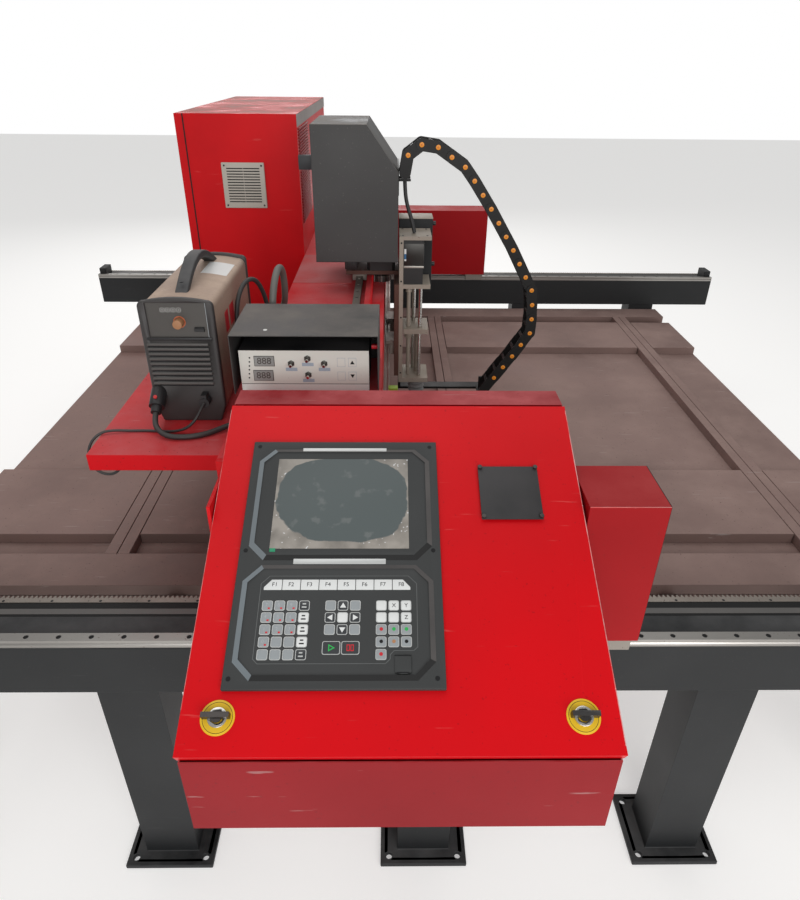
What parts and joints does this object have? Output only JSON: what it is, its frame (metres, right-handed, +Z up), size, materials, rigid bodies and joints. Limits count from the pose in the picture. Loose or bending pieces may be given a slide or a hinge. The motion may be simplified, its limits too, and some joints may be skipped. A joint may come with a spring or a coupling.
{
  "type": "cnc plasma table",
  "caption": "Gantry cutting table: rails on legs, a bridge carrying a sloping control desk, power source and cabinet, and a carriage that lifts a plasma torch.",
  "frame": {"origin": "centre of the bounding box's base, on the floor", "axes": "+X along the floor rails, +Y along the bridge away from the desk, +Z up"},
  "size_m": [3, 2.916, 1.474],
  "materials": {
    "red_paint": "glossy sprayed red",
    "dark_red_paint": "dusty sprayed red",
    "dark_paint": "dark grey-blue paint, dusty",
    "dusty_steel": "bare steel under rust-brown dust",
    "ground_steel": "ground, bright",
    "machined_steel": "machined, unpainted, dusty",
    "hood_paint": "dark grey powder coat",
    "panel_plastic": "moulded dark grey",
    "source_plastic": "moulded dark grey with tan housing",
    "black_plastic": "black moulded",
    "motor_black": "black painted casting",
    "rubber_black": "black sheath",
    "hose_grey": "grey corrugated sheath",
    "box_grey": "light grey with printed face",
    "chrome_steel": "plated",
    "tan_plastic": "tan cap",
    "red_plastic": "red cap",
    "zinc_plate": "zinc plated",
    "bellows_grey": "ribbed grey sleeve",
    "brass": "torch shield"
  },
  "bodies": {
    "frame": {"floor_beam_near": "dark_paint", "floor_beam_far": "dark_paint", "floor_rails": "ground_steel", "floor_racks": "ground_steel", "legs": "dark_paint", "table_frame": "dusty_steel", "table_tray": "dusty_steel", "table_bars": "dusty_steel"},
    "gantry": {"end_carriage_near": "red_paint", "end_carriage_far": "red_paint", "gantry_blocks": "ground_steel", "gantry_motors": "motor_black", "end_cover_near": "dark_red_paint", "end_cover_far": "dark_red_paint", "bridge_beam": "dark_red_paint", "bridge_rails": "ground_steel", "bridge_rack": "ground_steel", "shelf": "dark_red_paint", "desk_body": "red_paint", "cabinet_body": "red_paint", "cabinet_drives": "zinc_plate", "height_hood": "hood_paint", "height_box": "box_grey", "power_source": "source_plastic", "source_plugs": "black_plastic", "torch_supply_lead": "rubber_black", "work_lead": "rubber_black", "air_hose": "rubber_black", "signal_cable": "hose_grey"},
    "desk_lid": {"desk_door": "red_paint", "control_panel": "panel_plastic", "controller_box": "hood_paint"},
    "left_lock": {"lock_left": "black_plastic"},
    "right_lock": {"lock_right": "black_plastic"},
    "cabinet_leaf": {"cabinet_door": "red_paint"},
    "left_toggle": {"toggle_left": "chrome_steel"},
    "up_toggle": {"toggle_up": "chrome_steel"},
    "right_toggle": {"toggle_right": "chrome_steel"},
    "down_toggle": {"toggle_down": "chrome_steel"},
    "knob": {"source_knob": "tan_plastic"},
    "switch": {"source_switch": "black_plastic"},
    "button": {"plug_button": "red_plastic"},
    "carriage": {"carriage_plates": "machined_steel", "carriage_blocks": "ground_steel", "carriage_motor": "motor_black", "carriage_cover": "hood_paint", "lifter_frame": "machined_steel", "back_box": "dark_paint", "lift_motor": "motor_black", "drag_chain": "black_plastic", "chain_brackets": "zinc_plate", "lifter_cable": "rubber_black"},
    "torch_holder": {"torch_slide": "machined_steel", "torch": "brass", "torch_bellows": "bellows_grey", "torch_lead": "rubber_black"},
    "screw": {"lift_screw": "ground_steel"},
    "near_pinion": {"floor_pinion_near": "ground_steel"},
    "far_pinion": {"floor_pinion_far": "ground_steel"},
    "carriage_pinion": {"bridge_pinion": "ground_steel"}
  },
  "joints": [
    {"name": "gantry_x", "type": "slide", "parent": "frame", "child": "gantry", "axis": [1, 0, 0], "range_m": [-1, 1]},
    {"name": "carriage_y", "type": "slide", "parent": "gantry", "child": "carriage", "axis": [0, 1, 0], "range_m": [-0.45, 0.94]},
    {"name": "torch_z", "type": "slide", "parent": "carriage", "child": "torch_holder", "axis": [0, 0, 1], "range_m": [-0.05, 0.06], "deforming": ["torch_bellows", "torch_lead"]},
    {"name": "screw_turn", "type": "hinge", "parent": "carriage", "child": "screw", "pos_m": [-0.024, -0.035, 0.9], "axis": [0, 0, 1], "range_deg": [-1801, 2161]},
    {"name": "near_pinion_turn", "type": "hinge", "parent": "gantry", "child": "near_pinion", "pos_m": [0.306, -0.96, 0.67], "axis": [0, 0, 1], "range_deg": [-2123, 2123]},
    {"name": "far_pinion_turn", "type": "hinge", "parent": "gantry", "child": "far_pinion", "pos_m": [0.306, 1.415, 0.67], "axis": [0, 0, 1], "range_deg": [-2123, 2123]},
    {"name": "carriage_pinion_turn", "type": "hinge", "parent": "carriage", "child": "carriage_pinion", "pos_m": [-0.108, 0.081, 1.03], "axis": [0, 0, 1], "range_deg": [-956, 1996]},
    {"name": "desk_door_hinge", "type": "hinge", "parent": "gantry", "child": "desk_lid", "pos_m": [-0.063, -0.93016, 1.07787], "axis": [-1, 0, 0], "range_deg": [0, 75]},
    {"name": "left_lock_turn", "type": "hinge", "parent": "desk_lid", "child": "left_lock", "pos_m": [-0.313, -1.41189, 0.85679], "axis": [0, 0.4274, -0.9041], "range_deg": [0, 90]},
    {"name": "right_lock_turn", "type": "hinge", "parent": "desk_lid", "child": "right_lock", "pos_m": [0.187, -1.41189, 0.85679], "axis": [0, 0.4274, -0.9041], "range_deg": [0, 90]},
    {"name": "cabinet_door_hinge", "type": "hinge", "parent": "gantry", "child": "cabinet_leaf", "pos_m": [-0.7595, 1.389, 1.106], "axis": [0, 0, -1], "range_deg": [0, 100]},
    {"name": "toggle_left_tilt", "type": "hinge", "parent": "gantry", "child": "left_toggle", "pos_m": [-0.283, -0.723, 1.082], "axis": [1, 0, 0], "range_deg": [-15, 15], "stiffness_Nm_per_rad": 0.05},
    {"name": "toggle_up_tilt", "type": "hinge", "parent": "gantry", "child": "up_toggle", "pos_m": [-0.249, -0.723, 1.093], "axis": [1, 0, 0], "range_deg": [-15, 15], "stiffness_Nm_per_rad": 0.05},
    {"name": "toggle_right_tilt", "type": "hinge", "parent": "gantry", "child": "right_toggle", "pos_m": [-0.215, -0.723, 1.082], "axis": [1, 0, 0], "range_deg": [-15, 15], "stiffness_Nm_per_rad": 0.05},
    {"name": "toggle_down_tilt", "type": "hinge", "parent": "gantry", "child": "down_toggle", "pos_m": [-0.249, -0.723, 1.057], "axis": [1, 0, 0], "range_deg": [-15, 15], "stiffness_Nm_per_rad": 0.05},
    {"name": "source_knob_turn", "type": "hinge", "parent": "gantry", "child": "knob", "pos_m": [-0.519, -0.669, 1.147], "axis": [0, 1, 0], "range_deg": [-135, 135]},
    {"name": "source_switch_rock", "type": "hinge", "parent": "gantry", "child": "switch", "pos_m": [-0.479, -0.665, 1.131], "axis": [1, 0, 0], "range_deg": [-8, 8]},
    {"name": "plug_button_press", "type": "slide", "parent": "gantry", "child": "button", "axis": [0, 0.5736, -0.8192], "range_m": [0, 0.0018], "stiffness_N_per_m": 500, "springref_m": -0.001}
  ],
  "couplings": [
    {"joint": "screw_turn", "follows": "torch_z", "rad_per_m": 628.32},
    {"joint": "near_pinion_turn", "follows": "gantry_x", "rad_per_m": -37.037},
    {"joint": "far_pinion_turn", "follows": "gantry_x", "rad_per_m": -37.037},
    {"joint": "carriage_pinion_turn", "follows": "carriage_y", "rad_per_m": 37.037}
  ]
}
